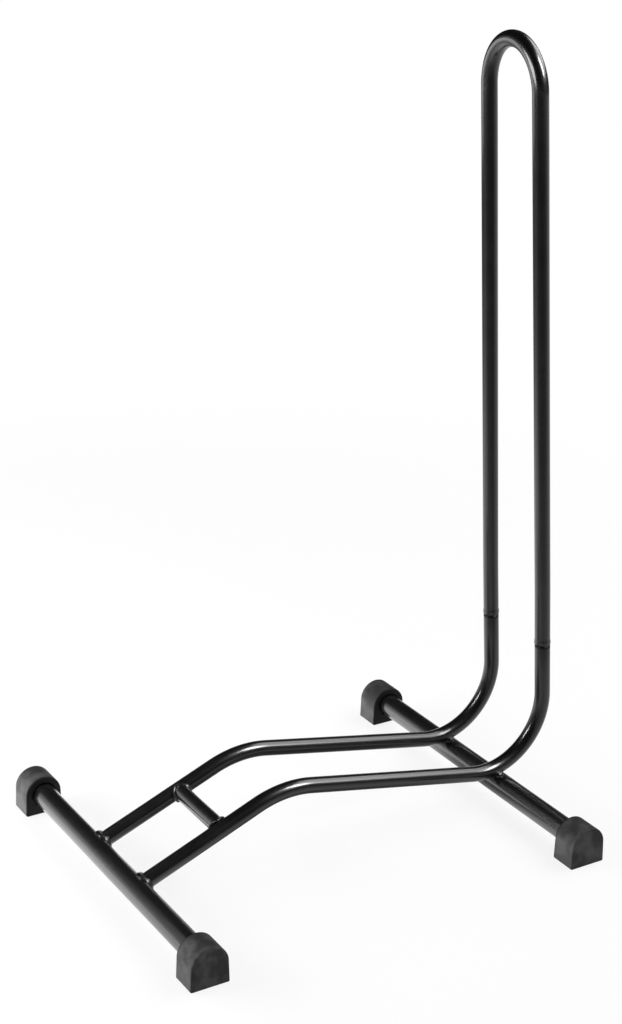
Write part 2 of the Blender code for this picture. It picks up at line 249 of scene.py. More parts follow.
class TubeSizes(PropertyGroup):
    """Sizes of the bent rails, the hoop and the straight tubes."""

    rail_diameter: length("Rail diameter", "Outer diameter of rails, hoop and brace", 0.016)
    rail_wall: length("Rail wall", "Wall of rails, hoop and brace", 0.0012)
    rail_spacing: length("Rail spacing", "Distance between the rails' centre lines", 0.0883)
    ramp_angle: angle("Ramp angle", "Slope of the ramps above the floor", 21.85)
    ramp_length: length("Ramp length", "Straight ramp, measured from the front tube's axis", 0.1398)
    crest_radius: length("Crest radius", "Bend radius over the crest", 0.1037)
    rear_radius: length("Rear radius", "Bend radius into the leg", 0.0703)
    seat_angle: angle("Seat angle", "Where the rear bend lies on the rear tube", 13.4)
    seat_gap: length("Seat gap", "Clearance between rail and rear tube", 0.0003)
    leg_lean: angle("Leg lean", "Forward lean of the legs and the hoop", 3.7)
    brace_distance: length("Brace distance", "From the front tube's axis to the brace, up the ramp", 0.0984)
    cross_diameter: length("Cross tube diameter", "Outer diameter of the two cross tubes",
                           FRONT_HIGH.z - FRONT_LOW.z)
    cross_wall: length("Cross tube wall", "Wall of the cross tubes", 0.0015)
    cross_length: length("Cross tube length", "Length of the cross tubes", FRONT_HIGH.x - FRONT_LOW.x)


class PlugSizes(PropertyGroup):
    """Sizes of the plug joint and of the hoop above it."""

    plug_height: length("Plug height", "Height of the shoulder above the floor", 0.1659)
    shoulder: length("Shoulder", "Length over which the tube is swaged down to the neck", 0.002)
    neck_length: length("Neck length", "Length of the neck inside the hoop", 0.040)
    neck_clearance: length("Neck clearance", "Gap between the neck and the hoop's bore", 0.0003)
    neck_chamfer: length("Neck chamfer", "Chamfer at the neck's tip", 0.0008)
    mouth_flare: length("Mouth flare", "How far the hoop's mouth is belled out", 0.0004)
    mouth_length: length("Mouth length", "Length of the belled mouth", 0.006)
    lip_round: length("Lip rounding", "Rounding of the tube's cut edges", 0.0003)
    top_spacing: length("Top spacing", "Distance between the hoop's legs where the arch starts", 0.0792)
    arch_rise: length("Arch rise", "Height of the arch's centre line above its start", 0.0463)
    straight: length("Plug straight", "Upright run at the foot of each hoop leg", 0.057)


class FootSizes(PropertyGroup):
    """Sizes of a rubber foot."""

    side_wall: length("Side wall", "Rubber beside the cross tube", 0.0067)
    flare: length("Flare", "How much further out each side is at the base", 0.0008)
    bore_gap: length("Bore gap", "Gap between the rubber and the cross tube", 0.0003)
    length: length("Foot length", "Length along the cross tube", 0.0290)
    end_wall: length("End wall", "Rubber over the cross tube's end", 0.005)
    end_round: length("End rounding", "Rounding of the foot's two ends", 0.0015)
    base_round: length("Base rounding", "Rounding along the foot's base", 0.0016)
    mouth_chamfer: length("Mouth chamfer", "Chamfer at the mouth of the bore", 0.0012)


class WeldSizes(PropertyGroup):
    """Sizes of the weld beads."""

    front_radius: length("Front bead", "Radius of the beads round the rails' front ends", 0.0029)
    brace_radius: length("Brace bead", "Radius of the beads at the brace", 0.0017)
    rear_radius: length("Rear bead", "Radius of the beads on the rear tube", 0.0027)
    stand_off: length("Stand-off", "Height of a bead's middle over the two tubes", 0.0010)
    brace_reach: length("Brace reach", "Height of the brace bead's middle over the rail", 0.0018)
    ripple: share("Ripple", "Depth of the ripples, as a share of the bead's radius", 0.10)
    unevenness: share("Unevenness", "How much smaller than the bead's radius a puddle may be", 0.20)
    height: level("Bead height", "Height of a bead's section, as a share of its round form", 0.85)
    width: level("Bead width", "Width of a bead's section, as a share of its round form", 1.4)
    ring_puddles: IntProperty(name="Ring puddles", description="Puddles in a bead round a tube", default=10)
    rear_puddles: IntProperty(name="Rear puddles", description="Puddles in a rear bead", default=4)
    rear_sweep: angle("Rear sweep", "How far a rear bead runs each way round the rear tube", 20)


class PaintLook(PropertyGroup):
    """Finish of the painted steel."""

    black: colour("Paint", "Colour of the paint", (0.0010, 0.0010, 0.0011))
    dusty: colour("Dust", "Colour of the paint under a film of dust", (0.0050, 0.0050, 0.0053))
    roughness: share("Roughness", "Mean roughness of the paint", 0.38)
    specular: share("Specular", "Strength of the paint's own dull gloss, 0.5 being plain", 0.2)
    coat: share("Gloss coat", "Weight of the glossy top layer", 1.0)
    coat_roughness: share("Coat roughness", "Roughness of the glossy top layer", 0.18)
    thick_coat: level("Cross tube gloss", "Refractive index of the top layer on cross tubes and brace", 2.2)
    peel: length("Orange peel", "Height of the paint's ripples", 0.000003)
    steel: colour("Bare steel", "Colour where the neck is rubbed bare", (0.42, 0.41, 0.40))


class RubberLook(PropertyGroup):
    """Finish of the rubber feet."""

    grey: colour("Rubber", "Colour of the rubber", (0.020, 0.020, 0.020))
    # Pale colour that both the bloom and the painted light on the low sides blend towards
    bloom_and_side_light: colour("Bloom", "Colour of the pale bloom on the rubber", (0.105, 0.105, 0.104))
    # Darker colour that the rubber takes round the mouth
    clean: colour("Clean rubber", "Colour of the rubber round the mouth, where nothing rubs it",
                  (0.004, 0.004, 0.004))
    roughness: share("Roughness", "Mean roughness of the rubber", 0.62)
    specular: share("Specular", "Strength of the rubber's gloss, 0.5 being plain", 0.15)
    grain: length("Grain", "Height of the moulded grain", 0.00004)


class StudioLook(PropertyGroup):
    """Floor, lamps and camera."""

    azimuth: angle("Camera azimuth", "Direction that the camera stands in, from -Y towards +X", 58.831)
    elevation: angle("Camera elevation", "Height of the camera above the horizon", 20.684)
    roll: angle("Camera roll", "Turn of the camera about its own axis", 0.788)
    camera_place: FloatVectorProperty(name="Camera place", description="Where the camera stands", size=3,
                                      default=(1.5003, -0.9245, 1.0045), subtype="TRANSLATION")
    key_level: level("Key lamp", "Brightness of the wide lamp behind the stand", 4.6)
    strip_level: level("Strip lamp", "Brightness of the tall narrow lamp behind the stand", 30.0)
    hoop_level: level("Hoop lamp", "Brightness of the small lamp beside the hoop", 12.0)
    bend_level: level("Bend lamp", "Brightness of the small lamp that the rear bends mirror", 38.0)
    card_level: level("Arch card", "Brightness of the two cards that the hoop's arch mirrors", 1.2)
    side_level: level("Side lamp", "Brightness of the low lamp beside the ramp, which no gloss mirrors", 12.0)
    ambient: level("Ambient", "Brightness of the light from all round", 0.18)
    room: level("Room", "Brightness of the dark room that the paint mirrors", 0.02)
    side_glow: level("Side glow", "Brightness of the room's pale side, beside the ramp", 0.9)
    paper: level("Paper", "Brightness of the paper that the paint mirrors", 0.70)
    side_paper: level("Side paper", "Extra brightness of the paper beside the ramp", 0.8)
    white: share("White floor", "Share of the floor near the stand that takes no shadow", 0.85)


class Wire:
    """One output of a shader tree. Arithmetic on it adds Math nodes."""

    def __init__(self, shader, socket):
        self.shader = shader
        self.socket = socket

    def maths(self, operation, first, second):
        return self.shader.node("ShaderNodeMath", {"operation": operation}, {0: first, 1: second})

    def __add__(self, other):
        return self.maths("ADD", self, other)

    __radd__ = __add__

    def __sub__(self, other):
        return self.maths("SUBTRACT", self, other)

    def __rsub__(self, other):
        return self.maths("SUBTRACT", other, self)

    def __mul__(self, other):
        return self.maths("MULTIPLY", self, other)

    __rmul__ = __mul__

    def larger(self, other):
        return self.maths("MAXIMUM", self, other)

    def ramp(self, low, high, most=1.0):
        """0 up to low, most from high on, and smooth between. low may be the larger of the two."""
        return self.shader.node("ShaderNodeMapRange", {"interpolation_type": "SMOOTHSTEP"},
                                {"Value": self, "From Min": low, "From Max": high, "To Max": most})


class Shader:
    """Builds the node tree of a material or a world."""

    def __init__(self, owner):
        owner.use_nodes = True
        self.owner = owner
        self.tree = owner.node_tree
        self.tree.nodes.clear()

    def node(self, kind, settings, sockets, output=0):
        """Adds a node: its settings first, then each socket's value or link."""
        made = self.tree.nodes.new(kind)
        for name, value in settings.items():
            setattr(made, name, value)
        for key, value in sockets.items():
            if isinstance(value, Wire):
                self.tree.links.new(value.socket, made.inputs[key])
            else:
                made.inputs[key].default_value = value
        return Wire(self, made.outputs[output])

    def place(self):
        """Where a point lies on the stand at rest, in metres."""
        return self.node("ShaderNodeTexCoord", {}, {}, output="Object")

    def vector_maths(self, operation, output, *vectors):
        sockets = dict(enumerate(vectors))
        return self.node("ShaderNodeVectorMath", {"operation": operation}, sockets, output)

    def stretched(self, place, scale):
        return self.vector_maths("MULTIPLY", "Vector", place, scale)

    def noise(self, place, scale, detail=2.0):
        """Soft noise from 0 to 1, with about scale waves to the metre."""
        return self.node("ShaderNodeTexNoise", {}, {"Vector": place, "Scale": scale, "Detail": detail})

    def height_of(self, place):
        return self.node("ShaderNodeSeparateXYZ", {}, {0: place}, output=2)

    def across(self, place):
        """How far a point lies to either side of the stand's middle plane."""
        sideways = self.node("ShaderNodeSeparateXYZ", {}, {0: place}, output=0)
        return sideways.larger(0.0 - sideways)

    def length_of(self, place):
        return self.vector_maths("LENGTH", "Value", place)

    def along(self, place, heading):
        """How far a point lies from the origin along the heading."""
        return self.vector_maths("DOT_PRODUCT", "Value", place, heading)

    def distance(self, place, other):
        return self.vector_maths("DISTANCE", "Value", place, other)

    def blend_colours(self, factor, first, second):
        """Mixed colour. The node's sockets 6 and 7 are its two colours, and its output 2 is their mix."""
        sockets = {"Factor": factor, 6: solid(first), 7: solid(second)}
        return self.node("ShaderNodeMix", {"data_type": "RGBA"}, sockets, output=2)

    def blend_shaders(self, factor, first, second):
        return self.node("ShaderNodeMixShader", {}, {0: factor, 1: first, 2: second})

    def light(self, kind, strength):
        """White light from an Emission or Background node."""
        return self.node(kind, {}, {"Color": (1.0, 1.0, 1.0, 1.0), "Strength": strength})

    def glow(self, strength, most):
        """White light of this strength, which varies from 0 to most."""
        dark = self.light("ShaderNodeEmission", 0.0)
        bright = self.light("ShaderNodeEmission", most)
        return self.blend_shaders(strength * (1 / most), dark, bright)

    def bump(self, height, distance):
        return self.node("ShaderNodeBump", {}, {"Height": height, "Distance": distance, "Strength": 1.0})

    def end(self, wire, kind="ShaderNodeOutputMaterial"):
        """Adds the output node and gives the finished material or world."""
        closing = self.tree.nodes.new(kind)
        self.tree.links.new(wire.socket, closing.inputs["Surface"])
        return self.owner


def solid(value):
    """A colour with its alpha, or a wire as it is."""
    return value if isinstance(value, Wire) else (*value, 1.0)


def paint_material(name, look, worn_from=None):
    """Semi-gloss black paint. Its coat ends just below the height worn_from, and steel shows above it."""
    peel_scale, haze, thick = PAINTS[name]
    shader = Shader(bpy.data.materials.new(name))
    place = shader.place()
    cloud = shader.noise(place, PAINT_CLOUDS)
    patch = shader.noise(place, PAINT_PATCHES, 3.0)
    base = shader.blend_colours(cloud.ramp(*DUST_LEVELS), look.black, look.dusty)
    roughness = look.roughness + haze + PAINT_PATCH_HAZE * (patch - 0.5) + PAINT_CLOUD_HAZE * (cloud - 0.5)
    metallic = 0.0
    coat = look.coat
    peel = shader.noise(place, peel_scale)
    if worn_from is not None:
        height = shader.height_of(place)
        streak = shader.noise(shader.stretched(place, RUB_STREAKS), 1.0, 3.0).ramp(*RUB_LEVELS)
        worn = streak * height.ramp(worn_from, worn_from + RUB_RISE)
        base = shader.blend_colours(worn, base, look.steel)
        roughness = roughness + RUB_HAZE * worn
        metallic = worn
        coat = look.coat * (1.0 - height.ramp(*(worn_from - depth for depth in COAT_END)))
    sockets = {
        "Base Color": base,
        "Roughness": roughness,
        "Metallic": metallic,
        "Specular IOR Level": look.specular,
        "Coat Weight": coat,
        "Coat Roughness": look.coat_roughness + haze,
        "Coat IOR": look.thick_coat if thick else PLAIN_COAT,
        "Normal": shader.bump(peel, look.peel),
    }
    return shader.end(shader.node("ShaderNodeBsdfPrincipled", {}, sockets))


def rubber_material(name, look):
    """Matte moulded rubber with a fine grain, a pale bloom and painted light low on the sides, which give way
    to a darker colour round the foot's mouth.
    """
    shader = Shader(bpy.data.materials.new(name))
    place = shader.place()
    cloud = shader.noise(place, RUBBER_CLOUDS, 3.0)
    grain = shader.noise(place, RUBBER_GRAIN)
    pores = shader.noise(place, RUBBER_PORES, 1.0).ramp(*PORE_LEVELS)
    across = shader.across(place)
    off_end = across.ramp(*(FOOT_HIGH.x - depth for depth in BLOOM_AND_LIGHT_DEPTHS))
    low_side = off_end * shader.height_of(place).ramp(*BLOOM_AND_LIGHT_HEIGHTS)
    # Random bloom, plus painted light that makes the low sides paler
    bloom_and_side_light = cloud.ramp(*BLOOM_CLOUDS) * (1.0 + low_side) + BLOOM_GRAIN * grain + PAINTED_SIDE_LIGHT * low_side
    bloomed_and_side_lit = shader.blend_colours(bloom_and_side_light, look.grey, look.bloom_and_side_light)
    # Darker round the mouth
    off_mouth = across.ramp(*(FOOT_LOW.x + depth for depth in MOUTH_FADE))
    sockets = {
        "Base Color": shader.blend_colours(off_mouth, look.clean, bloomed_and_side_lit),
        "Roughness": look.roughness + RUBBER_CLOUD_HAZE * (cloud - 0.5) + RUBBER_GRAIN_HAZE * (grain - 0.5),
        "Specular IOR Level": look.specular,
        "Normal": shader.bump(grain - PORE_DEPTH * pores, look.grain),
    }
    return shader.end(shader.node("ShaderNodeBsdfPrincipled", {}, sockets))


def finish(name, make, *details):
    """The material of this name, made once."""
    return bpy.data.materials.get(name) or make(name, *details)


def slope(turn):
    """Unit vector in the YZ plane, at this angle above +Y."""
    return Vector((0, cos(turn), sin(turn)))


def bend(centre, radius, start, end):
    """Stations on a bend in the YZ plane: points and the headings along it."""
    steps = ceil(abs(end - start) / BEND_STEP)
    onward = pi / 2 if end > start else -pi / 2
    turns = [start + (end - start) * i / steps for i in range(steps + 1)]
    return [(centre + radius * slope(turn), slope(turn + onward)) for turn in turns]


def rear_bend_centre(tubes):
    reach = tubes.rear_radius + tubes.rail_diameter / 2 + tubes.cross_diameter / 2 + tubes.seat_gap
    return REAR_AXIS + reach * slope(pi / 2 + tubes.seat_angle)


def leg_heading(tubes):
    return slope(pi / 2 + tubes.leg_lean)


def shoulder_point(tubes, plug):
    bend_end = rear_bend_centre(tubes) + tubes.rear_radius * slope(tubes.leg_lean)
    return bend_end + leg_heading(tubes) * (plug.plug_height - bend_end.z) / cos(tubes.leg_lean)


def plug_seat(tubes, plug):
    return shoulder_point(tubes, plug) + plug.shoulder * leg_heading(tubes)


def brace_point(tubes):
    return FRONT_AXIS + tubes.brace_distance * slope(tubes.ramp_angle)


def rail_stations(tubes, plug):
    """Points and headings of a rail's centre line in the plane X = 0, from the front tube to the shoulder."""
    ramp = slope(tubes.ramp_angle)
    ramp_end = FRONT_AXIS + tubes.ramp_length * ramp
    crest_centre = ramp_end + tubes.crest_radius * slope(tubes.ramp_angle - pi / 2)
    rear_centre = rear_bend_centre(tubes)
    span = rear_centre - crest_centre
    fall = atan2(span.z, span.y) - asin((tubes.crest_radius + tubes.rear_radius) / span.length)
    crest = bend(crest_centre, tubes.crest_radius, tubes.ramp_angle + pi / 2, fall + pi / 2)
    rear = bend(rear_centre, tubes.rear_radius, fall - pi / 2, tubes.leg_lean)
    start = FRONT_AXIS + tubes.cross_diameter * ramp
    return [(start, ramp), *crest, *rear, (shoulder_point(tubes, plug), leg_heading(tubes))]


def ring(centre, heading, radius, side, count=TUBE_SIDES):
    """Points of a circle square to the heading. side is a unit vector square to it too."""
    up = side.cross(heading)
    turns = [2 * pi * i / count for i in range(count)]
    return [centre + radius * (cos(turn) * side + sin(turn) * up) for turn in turns]


def slid_to_tube(point, heading, axis_point, axis, radius, forward):
    """The point moved along the heading onto a round tube: onto its far side if forward is 1."""
    off = point - axis_point
    off -= off.dot(axis) * axis
    run = heading - heading.dot(axis) * axis
    a = run.dot(run)
    b = off.dot(run)
    c = off.dot(off) - radius ** 2
    reach = (-b + forward * sqrt(max(b * b - a * c, 0.0))) / a
    return point + reach * heading


def mesh_from_rings(name, rings, closed, first_cap=True):
    """Skin over rings of equally many points. It is joined end to end if closed, and capped otherwise."""
    work = bmesh.new()
    rows = [[work.verts.new(point) for point in points] for points in rings]
    pairs = list(zip(rows, rows[1:]))
    if closed:
        pairs.append((rows[-1], rows[0]))
    else:
        work.faces.new(rows[-1])
        if first_cap:
            work.faces.new(list(reversed(rows[0])))
    for low, high in pairs:
        for i in range(len(low)):
            after = (i + 1) % len(low)
            work.faces.new((low[i], low[after], high[after], high[i]))
    bmesh.ops.recalc_face_normals(work, faces=work.faces)
    mesh = bpy.data.meshes.new(name)
    work.to_mesh(mesh)
    work.free()
    mesh.shade_smooth()
    mesh.set_sharp_from_angle(angle=SHARP_FROM)
    return mesh


def rounded_corner(rounding):
    """Steps over a convex edge: how far each lies under the first face and behind the second."""
    return [(rounding * (1 - cos(turn)), rounding * (1 - sin(turn))) for turn in QUARTER_TURN]


def lip(centre, heading, outer, inner, rounding, side):
    """Rings over a cut end, from the outside to the bore. The first and last lie behind the centre."""
    corner = rounded_corner(rounding)
    steps = [(outer - inset, back) for inset, back in corner]
    steps += [(inner + inset, back) for inset, back in reversed(corner)]
    return [ring(centre - back * heading, heading, radius, side) for radius, back in steps]


def turned_round(points):
    """The same ring, run the other way round from the same start."""
    return [points[0], *reversed(points[1:])]


def add_piece(mesh, material, body, node):
    """Links a finished piece that stands for a packed node and moves with its body."""
    mesh.materials.append(material)
    piece = bpy.data.objects.new(mesh.name, mesh)
    bpy.context.scene.collection.objects.link(piece)
    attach(piece, body)
    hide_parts(node)


def moved(rings, offset):
    """The rings, all shifted by the offset."""
    return [[point + offset for point in points] for points in rings]


def eased(low, high, part):
    """A value that leaves low and reaches high gently, as part goes from 0 to 1."""
    return low + (high - low) * part * part * (3 - 2 * part)


class BikeStandOperator:
    """What the stand's operators share."""

    bl_options = {"REGISTER", "UNDO"}

    def looks(self, context):
        scene = context.scene
        return scene.stand_tubes, scene.stand_plug, scene.stand_paint

    def radii(self, diameter, wall):
        """Outer and inner radius of a finished tube."""
        return diameter / 2 - SKIN, diameter / 2 - wall


class STAND_OT_rails(BikeStandOperator, Operator):
    """Build both rails: coped at the front, bent over the crest and swaged to a neck at the top"""

    bl_idname = "bike_stand.rails"
    bl_label = "Rails"

    def execute(self, context):
        tubes, plug, paint = self.looks(context)
        outer, bore = self.radii(tubes.rail_diameter, tubes.rail_wall)
        stations = rail_stations(tubes, plug)
        ramp = stations[0][1]
        leg = leg_heading(tubes)
        neck = bore - plug.neck_clearance - SKIN
        neck_bore = neck - tubes.rail_wall
        shoulder = shoulder_point(tubes, plug)
        seat = plug_seat(tubes, plug)
        tip = seat + plug.neck_length * leg
        outside = [self.coped(outer, tubes, ramp)]
        outside += [ring(point, heading, outer, ACROSS) for point, heading in stations]
        for part in (i / CORNER_STEPS for i in range(1, CORNER_STEPS + 1)):
            outside.append(ring(shoulder + part * plug.shoulder * leg, leg, eased(outer, neck, part), ACROSS))
        chamfer_start = tip - plug.neck_chamfer * leg
        outside.append(ring(chamfer_start - plug.neck_chamfer * leg, leg, neck, ACROSS))
        outside.append(ring(chamfer_start, leg, neck, ACROSS))
        outside.append(ring(tip, leg, neck - plug.neck_chamfer, ACROSS))
        inside = [ring(tip, leg, neck_bore, ACROSS), ring(seat, leg, neck_bore, ACROSS)]
        inside += [ring(point, heading, bore, ACROSS) for point, heading in reversed(stations)]
        inside.append(self.coped(bore, tubes, ramp))
        material = finish("rail_paint", paint_material, paint, seat.z)
        for side, sign in SIDES.items():
            offset = Vector((sign * tubes.rail_spacing / 2, 0, 0))
            mesh = mesh_from_rings("rail_tube_" + side, moved(outside + inside, offset), closed=True)
            add_piece(mesh, material, "base", "rail_" + side)
        return {"FINISHED"}

    def coped(self, radius, tubes, ramp):
        """The rail's front end, cut to the front tube's round."""
        points = ring(FRONT_AXIS, ramp, radius, ACROSS)
        tube = tubes.cross_diameter / 2
        return [slid_to_tube(point, ramp, FRONT_AXIS, ACROSS, tube, 1) for point in points]


class STAND_OT_hoop(BikeStandOperator, Operator):
    """Build the plug-in hoop, with a belled mouth on each leg"""

    bl_idname = "bike_stand.hoop"
    bl_label = "Hoop"

    def execute(self, context):
        tubes, plug, paint = self.looks(context)
        outer, bore = self.radii(tubes.rail_diameter, tubes.rail_wall)
        points = self.centre_line(tubes, plug)
        seat = plug_seat(tubes, plug)
        up = leg_heading(tubes)
        normal = up.cross(ACROSS)
        placed = [seat + x * ACROSS + z * up for x, z in points]
        headings = [(after - before).normalized() for before, after in zip(placed, placed[2:])]
        stations = list(zip(placed[1:-1], headings))
        rim = outer + plug.mouth_flare
        outside = [ring(point, heading, self.radius(outer, (point - seat).dot(up), plug), normal)
                   for point, heading in stations]
        inside = [ring(point, heading, bore, normal) for point, heading in reversed(stations)]
        right_end, left_end = (lip(mouth, -up, rim, bore, plug.lip_round, normal)
                               for mouth in (placed[0], placed[-1]))
        rings = outside + left_end + inside + [turned_round(points) for points in reversed(right_end)]
        material = finish("hoop_paint", paint_material, paint)
        mesh = mesh_from_rings("hoop_tube", rings, closed=True)
        add_piece(mesh, material, "hoop", "hoop")
        return {"FINISHED"}

    def centre_line(self, tubes, plug):
        """Points (across, up) from the right mouth over the arch to the left mouth."""
        half_base = tubes.rail_spacing / 2
        half_top = plug.top_spacing / 2
        seat = plug_seat(tubes, plug)
        top = CAD_BOX[1].z - tubes.rail_diameter / 2
        spring = (top - seat.z) / cos(tubes.leg_lean) - plug.arch_rise
        heights = [0.0, plug.lip_round, plug.mouth_length / 2]
        heights += [plug.mouth_length * (0.5 + 0.5 * i / CORNER_STEPS) for i in range(1, CORNER_STEPS + 1)]
        right = [(half_base, height) for height in heights]
        right += [(half_base, plug.straight - KINK_STEP), (half_base, plug.straight)]
        right += [(half_base + (half_top - half_base) * part, plug.straight + (spring - plug.straight) * part)
                  for part in LEG_PARTS]
        turns = [pi * i / ARCH_STEPS for i in range(ARCH_STEPS + 1)]
        arch = [(half_top * cos(turn), spring + plug.arch_rise * sin(turn)) for turn in turns]
        return right + arch + [(-x, z) for x, z in reversed(right)]

    def radius(self, outer, height, plug):
        """Outer radius of a hoop leg at this height over its mouth, larger in the bell."""
        part = min(max(2 * height / plug.mouth_length - 1, 0.0), 1.0)
        return eased(outer + plug.mouth_flare, outer, part)


class STAND_OT_cross_tubes(BikeStandOperator, Operator):
    """Build the front and rear cross tubes"""

    bl_idname = "bike_stand.cross_tubes"
    bl_label = "Cross Tubes"

    def execute(self, context):
        tubes, plug, paint = self.looks(context)
        outer, bore = self.radii(tubes.cross_diameter, tubes.cross_wall)
        half = tubes.cross_length / 2 * ACROSS
        side = Vector((0, 1, 0))
        right = lip(half, ACROSS, outer, bore, plug.lip_round, side)
        # The left lip has the right one's heading, so its rounding stands out of the tube, inside the foot
        left = lip(-half, ACROSS, outer, bore, plug.lip_round, side)
        material = finish("cross_tube_paint", paint_material, paint)
        for end, axis in (("front", FRONT_AXIS), ("rear", REAR_AXIS)):
            rings = moved(right + list(reversed(left)), axis)
            mesh = mesh_from_rings(end + "_tube", rings, closed=True)
            add_piece(mesh, material, "base", end + "_cross_tube")
        return {"FINISHED"}


class STAND_OT_brace(BikeStandOperator, Operator):
    """Build the brace between the rails, its ends coped to them"""

    bl_idname = "bike_stand.brace"
    bl_label = "Brace"

    def execute(self, context):
        tubes, _, paint = self.looks(context)
        outer, bore = self.radii(tubes.rail_diameter, tubes.rail_wall)
        rings = [self.coped(tubes, outer, -1), self.coped(tubes, outer, 1)]
        rings += [self.coped(tubes, bore, 1), self.coped(tubes, bore, -1)]
        material = finish("brace_paint", paint_material, paint)
        mesh = mesh_from_rings("brace_tube", rings, closed=True)
        add_piece(mesh, material, "base", "rail_brace")
        return {"FINISHED"}

    def coped(self, tubes, radius, sign):
        """One end of the brace, cut to the rail on that side."""
        ramp = slope(tubes.ramp_angle)
        middle = brace_point(tubes)
        rail_point = middle + sign * tubes.rail_spacing / 2 * ACROSS
        points = ring(middle, ACROSS, radius, ramp)
        rail = tubes.rail_diameter / 2
        return [slid_to_tube(point, sign * ACROSS, rail_point, ramp, rail, -1) for point in points]


class STAND_OT_feet(BikeStandOperator, Operator):
    """Build the four rubber feet"""

    bl_idname = "bike_stand.feet"
    bl_label = "Feet"

    def execute(self, context):
        tubes = context.scene.stand_tubes
        foot = context.scene.stand_foot
        material = finish("foot_rubber", rubber_material, context.scene.stand_rubber)
        for end, axis in (("front", FRONT_AXIS), ("rear", REAR_AXIS)):
            for side, sign in SIDES.items():
                outer_end = axis + sign * FOOT_HIGH.x * ACROSS
                rings = self.rings(tubes, foot, outer_end, sign)
                node = "foot_" + end + "_" + side
                mesh = mesh_from_rings("rubber_" + node, rings, closed=False)
                add_piece(mesh, material, "base", node)
        return {"FINISHED"}

    def rings(self, tubes, foot, outer_end, sign):
        """From the outer end face round the outside to the mouth and into the blind bore."""
        bore = tubes.cross_diameter / 2 + foot.bore_gap
        corner = rounded_corner(foot.end_round)
        steps = corner + [(foot.length - depth, inset) for depth, inset in reversed(corner)]
        rings = [(depth, self.outline(tubes, foot, inset)) for depth, inset in steps]
        rings.append((foot.length, self.circle(tubes, foot, bore + foot.mouth_chamfer)))
        rings.append((foot.length - foot.mouth_chamfer, self.circle(tubes, foot, bore)))
        rings.append((foot.end_wall, self.circle(tubes, foot, bore)))
        return [[outer_end + Vector((-sign * depth, across, up)) for across, up in outline]
                for depth, outline in rings]

    def outline(self, tubes, foot, inset):
        """D outline about the tube's axis, drawn in by inset, from the middle of the base."""
        arch = tubes.cross_diameter / 2 + foot.bore_gap + foot.side_wall
        base = FRONT_AXIS.z
        corner = foot.base_round
        wide = arch + foot.flare * (1 - corner / base)
        reach = max(corner - inset, 0.0)
        right = [(wide - corner + reach * sin(turn), corner - base - reach * cos(turn))
                 for turn in QUARTER_TURN]
        turns = [pi * i / FOOT_ARCH_STEPS for i in range(FOOT_ARCH_STEPS + 1)]
        top = [((arch - inset) * cos(turn), (arch - inset) * sin(turn)) for turn in turns]
        left = [(-across, up) for across, up in reversed(right)]
        return [(0.0, inset - base), *right, *top, *left]

    def circle(self, tubes, foot, radius):
        """Points of a circle that face the points of the outline."""
        return [radius * Vector(point).normalized() for point in self.outline(tubes, foot, 0.0)]


def bead_mesh(name, spine, radius, welds, puddles, closed):
    """Weld bead laid puddle by puddle. spine gives (centre, outward) at each step."""
    pick = Random(name)
    sizes = [1 - welds.unevenness * pick.random() for _ in range(puddles)]
    steps = len(spine)
    rings = []
    for i, (centre, outward) in enumerate(spine):
        before = spine[i - 1][0] if i or closed else centre
        after = spine[(i + 1) % steps][0] if i < steps - 1 or closed else centre
        heading = (after - before).normalized()
        side = (outward - outward.dot(heading) * heading).normalized()
        up = side.cross(heading)
        share_done = i / steps if closed else i / (steps - 1)
        taper = 1.0 if closed else sqrt(1 - END_TAPER * (2 * share_done - 1) ** 2)
        points = []
        for j in range(BEAD_SIDES):
            turn = 2 * pi * j / BEAD_SIDES
            lag = RIPPLE_LAG * (1 - cos(turn))
            phase = (share_done * puddles - lag) % puddles
            first = int(phase) % puddles
            size = eased(sizes[first], sizes[(first + 1) % puddles], phase - int(phase))
            scallop = sin(pi * phase) ** 2
            reach = radius * taper * size * (1 - welds.ripple * (1 - scallop))
            points.append(centre + reach * (welds.height * cos(turn) * side + welds.width * sin(turn) * up))
        rings.append(points)
    return mesh_from_rings(name, rings, closed)


class WeldOperator(BikeStandOperator):
    """What the weld operators share. station() gives a bead's middle at a turn and which way it faces."""

    def add_bead(self, context, joint, side, spine, radius, puddles, closed):
        welds = context.scene.stand_welds
        material = finish("weld_paint", paint_material, context.scene.stand_paint)
        mesh = bead_mesh(joint + "_bead_" + side, spine, radius, welds, puddles, closed)
        add_piece(mesh, material, "base", "weld_" + joint + "_" + side)

    def add_ring_beads(self, context, joint, middle, radius):
        """Lays a bead right round each of the two joints beside the middle."""
        tubes = context.scene.stand_tubes
        welds = context.scene.stand_welds
        count = welds.ring_puddles * POINTS_PER_PUDDLE
        for side, sign in SIDES.items():
            beside = middle + sign * tubes.rail_spacing / 2 * ACROSS
            spine = [self.station(tubes, welds, beside, 2 * pi * i / count) for i in range(count)]
            self.add_bead(context, joint, side, spine, radius, welds.ring_puddles, True)


class STAND_OT_front_welds(WeldOperator, Operator):
    """Lay the beads round the rails' front ends"""

    bl_idname = "bike_stand.front_welds"
    bl_label = "Front Welds"

    def execute(self, context):
        self.add_ring_beads(context, "front", FRONT_AXIS, context.scene.stand_welds.front_radius)
        return {"FINISHED"}

    def station(self, tubes, welds, beside, turn):
        ramp = slope(tubes.ramp_angle)
        over = slope(tubes.ramp_angle + pi / 2)
        outward = sin(turn) * ACROSS + cos(turn) * over
        reach = tubes.rail_diameter / 2 + welds.stand_off
        off_ramp = reach * cos(turn)
        along = sqrt((tubes.cross_diameter / 2 + welds.stand_off) ** 2 - off_ramp ** 2)
        off_tube = (along * ramp + off_ramp * over).normalized()
        return beside + reach * outward + along * ramp, (outward + off_tube).normalized()


